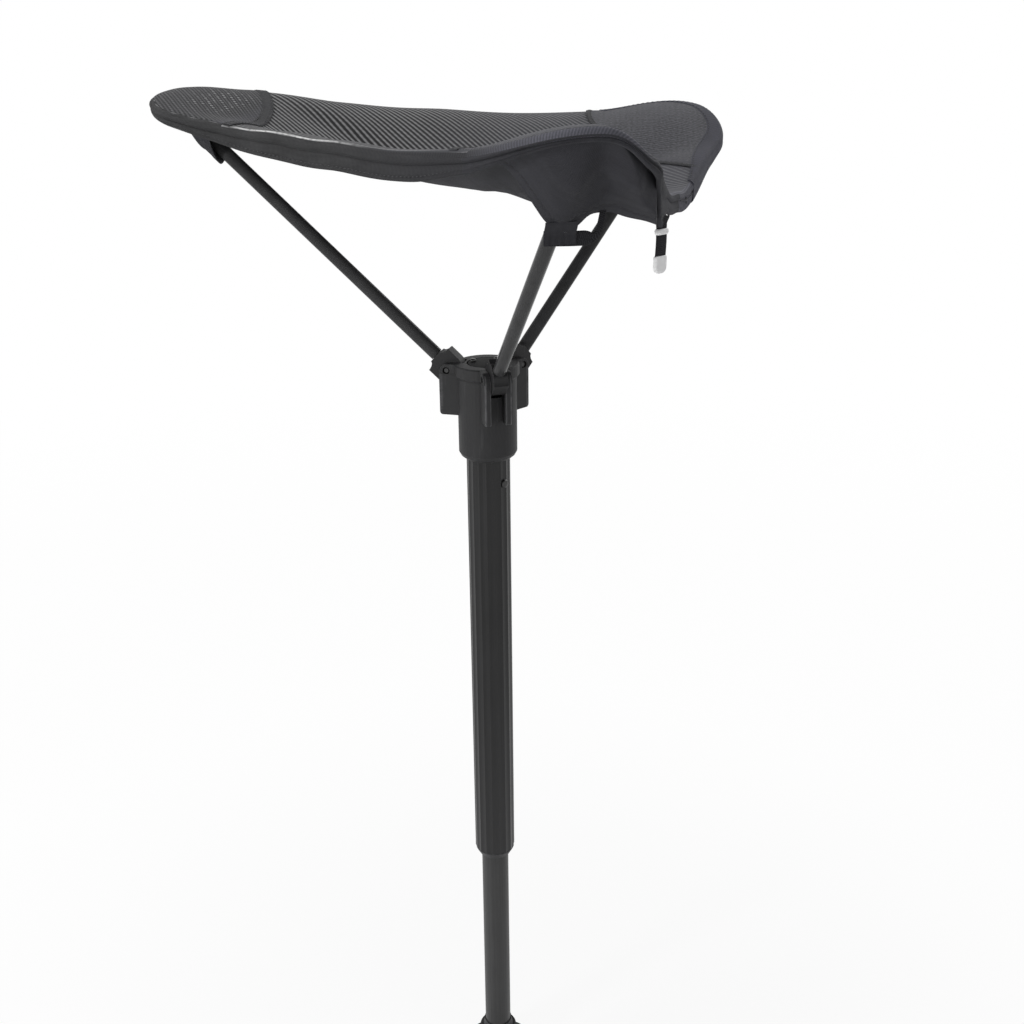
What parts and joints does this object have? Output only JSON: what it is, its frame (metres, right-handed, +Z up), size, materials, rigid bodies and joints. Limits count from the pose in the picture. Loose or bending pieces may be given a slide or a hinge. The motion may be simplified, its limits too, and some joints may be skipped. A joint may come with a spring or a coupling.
{
  "type": "single-leg stool",
  "caption": "Single-leg stool: a dished lobed cloth sling on folding struts, a slotted hub and a telescoping tube leg with a flared rubber foot.",
  "frame": {"origin": "middle of the foot's flat base, on the post's axis", "axes": "+Z up along the post, -X along the first strut, +X through the middle of the slack side of the seat"},
  "size_m": [0.3352, 0.3716, 0.712],
  "materials": {
    "hub_plastic": "fine-grained moulded black",
    "knuckle_plastic": "moulded black",
    "lock_plastic": "moulded dark grey",
    "black_tube": "black anodised",
    "grey_tube": "satin grey anodised",
    "bright_steel": "plain",
    "foot_rubber": "matte",
    "mesh_cloth": "knitted spacer mesh",
    "plain_cloth": "plain woven",
    "webbing": "narrow webbing",
    "pale_end": "plain"
  },
  "bodies": {
    "post": {"hub_body": "hub_plastic", "hub_cap": "hub_plastic", "cap_screw_1": "bright_steel", "cap_screw_2": "bright_steel", "cap_screw_3": "bright_steel", "pivot_pin_1": "bright_steel", "pivot_pin_2": "bright_steel", "pivot_pin_3": "bright_steel", "outer_tube": "black_tube", "tube_rivet": "bright_steel", "tube_bush": "lock_plastic"},
    "expander": {"lock_expander": "lock_plastic"},
    "leg": {"leg_tube": "grey_tube", "leg_plug": "lock_plastic", "lock_stud": "bright_steel", "foot_socket": "lock_plastic", "foot_boot": "foot_rubber"},
    "arm_1": {"knuckle_1": "knuckle_plastic", "strut_1": "black_tube", "strut_tip_1": "knuckle_plastic"},
    "arm_2": {"knuckle_2": "knuckle_plastic", "strut_2": "black_tube", "strut_tip_2": "knuckle_plastic"},
    "arm_3": {"knuckle_3": "knuckle_plastic", "strut_3": "black_tube", "strut_tip_3": "knuckle_plastic"},
    "seat": {"seat_panel": "mesh_cloth", "side_hem_1": "plain_cloth", "side_hem_2": "plain_cloth", "side_hem_3": "plain_cloth", "pocket_1": "plain_cloth", "pocket_2": "plain_cloth", "pocket_3": "plain_cloth", "pull_loop": "webbing", "pull_tab_strap": "webbing", "pull_tab_end": "pale_end"}
  },
  "joints": [
    {"name": "leg_slide", "type": "slide", "parent": "post", "child": "expander", "axis": [0, 0, 1], "range_m": [0, 0.15]},
    {"name": "leg_twist", "type": "hinge", "parent": "expander", "child": "leg", "pos_m": [0, 0, 0.28], "axis": [0, 0, 1], "range_deg": [0, 180]},
    {"name": "fold_1", "type": "hinge", "parent": "post", "child": "arm_1", "pos_m": [-0.024, 0, 0.546], "axis": [0, -1, 0], "range_deg": [0, 130], "deforming": ["pocket_1"]},
    {"name": "fold_2", "type": "hinge", "parent": "post", "child": "arm_2", "pos_m": [0.012, -0.02078, 0.546], "axis": [0.866, 0.5, 0], "range_deg": [0, 130], "deforming": ["pocket_2", "pull_loop"]},
    {"name": "fold_3", "type": "hinge", "parent": "post", "child": "arm_3", "pos_m": [0.012, 0.02078, 0.546], "axis": [-0.866, 0.5, 0], "range_deg": [0, 130], "deforming": ["pocket_3"]},
    {"name": "seat_lift", "type": "slide", "parent": "post", "child": "seat", "axis": [0, 0, 1], "range_m": [0, 0.18], "deforming": ["pocket_1", "pocket_2", "pocket_3", "pull_loop"]}
  ]
}
